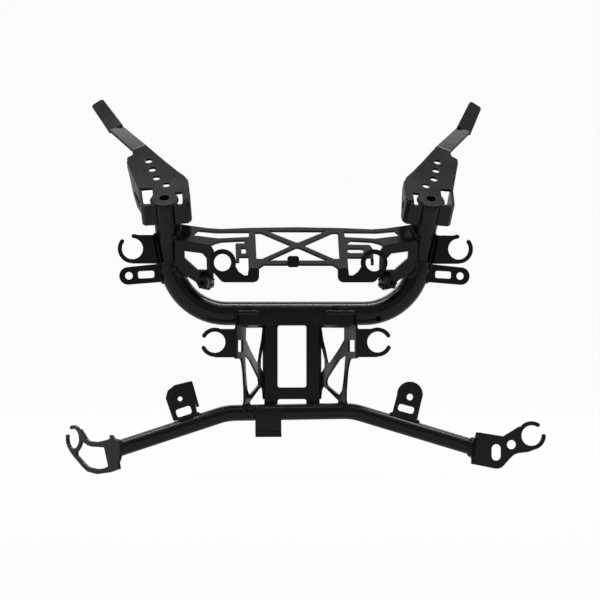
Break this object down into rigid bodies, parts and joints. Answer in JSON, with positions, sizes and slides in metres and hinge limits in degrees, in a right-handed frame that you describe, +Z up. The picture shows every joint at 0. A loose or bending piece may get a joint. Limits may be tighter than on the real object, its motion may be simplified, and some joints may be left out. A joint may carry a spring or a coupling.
{
  "type": "motorcycle fairing stay",
  "caption": "Welded tube and sheet stay that bolts to a motorcycle's steering head and carries the fairing, lamp and hoses.",
  "frame": {"origin": "middle of the two headstock bolt holes, on the back face of the neck's rear web", "axes": "+X to the right seen from the front, +Y to the rear towards the steering head, +Z up"},
  "size_m": [0.5168, 0.1517, 0.406],
  "materials": {
    "black_coat": "semi-gloss black coat"
  },
  "bodies": {
    "root": {"hoop_tube": "black_coat", "ear_left": "black_coat", "ear_right": "black_coat", "cross_brace": "black_coat", "weld_nut_left": "black_coat", "weld_nut_right": "black_coat", "hose_clip_upper_left": "black_coat", "hose_clip_upper_right": "black_coat", "side_tab_left": "black_coat", "side_tab_right": "black_coat", "neck_box": "black_coat", "neck_lip": "black_coat", "hose_clip_lower_left": "black_coat", "hose_clip_lower_right": "black_coat", "lower_tube": "black_coat", "tube_tab_left": "black_coat", "tab_weld_nut": "black_coat", "tube_tab_right": "black_coat", "centre_tab": "black_coat", "end_bracket_left": "black_coat", "end_bracket_right": "black_coat"}
  },
  "joints": []
}
